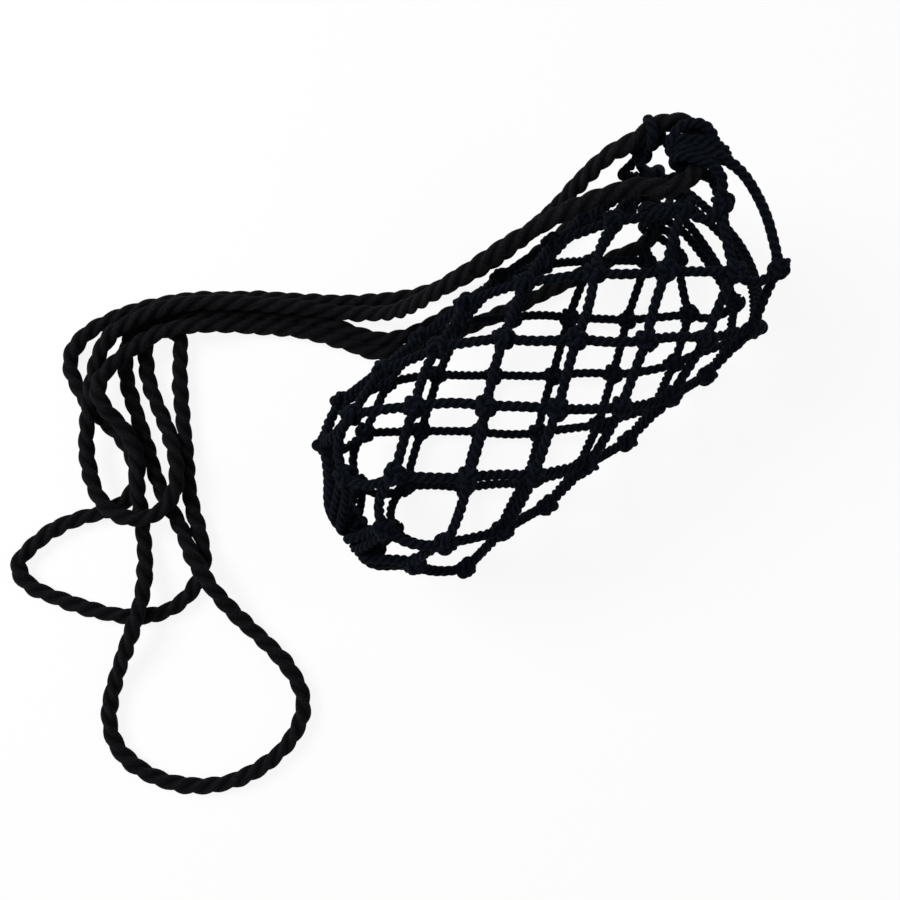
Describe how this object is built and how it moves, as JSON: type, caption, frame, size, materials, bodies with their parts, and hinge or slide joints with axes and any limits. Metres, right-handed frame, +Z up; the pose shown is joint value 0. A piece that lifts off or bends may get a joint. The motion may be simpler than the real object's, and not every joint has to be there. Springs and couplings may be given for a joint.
{
  "type": "knotted cord bottle carrier",
  "caption": "Hand-knotted diamond net pouch of dark twisted cord for carrying a bottle, drawn in at the mouth by two long loops of thicker strap cord threaded through its rim.",
  "frame": {"origin": "on the floor under the middle of the pouch, which lies on its side", "axes": "+X along the pouch from its base to its mouth, +Y to the side the strap lies on, +Z up"},
  "size_m": [0.3291, 0.1928, 0.0878],
  "materials": {
    "net_cord": "matt twisted cotton",
    "strap_cord": "matt twisted cotton"
  },
  "bodies": {
    "net": {"base_ring": "net_cord", "base_strands": "net_cord", "knots_row_0": "net_cord", "knots_row_1": "net_cord", "knots_row_2": "net_cord", "knots_row_3": "net_cord", "knots_row_4": "net_cord", "knots_row_5": "net_cord", "knots_row_6": "net_cord", "knots_row_7": "net_cord", "knots_row_8": "net_cord", "knots_row_9": "net_cord", "mesh_row_1": "net_cord", "mesh_row_2": "net_cord", "mesh_row_3": "net_cord", "mesh_row_4": "net_cord", "mesh_row_5": "net_cord", "mesh_row_6": "net_cord", "mesh_row_7": "net_cord", "mesh_row_8": "net_cord", "mesh_row_9": "net_cord", "near_rim_loops": "net_cord", "far_rim_loops": "net_cord"},
    "strap": {"near_strap_bight": "strap_cord", "far_strap_bight": "strap_cord", "near_strap_loop": "strap_cord", "far_strap_loop": "strap_cord"}
  },
  "joints": [
    {"name": "strap_swing", "type": "hinge", "parent": "net", "child": "strap", "pos_m": [0.07041, 0.033, 0.0439], "axis": [0, 0, -1], "range_deg": [0, 60]}
  ]
}
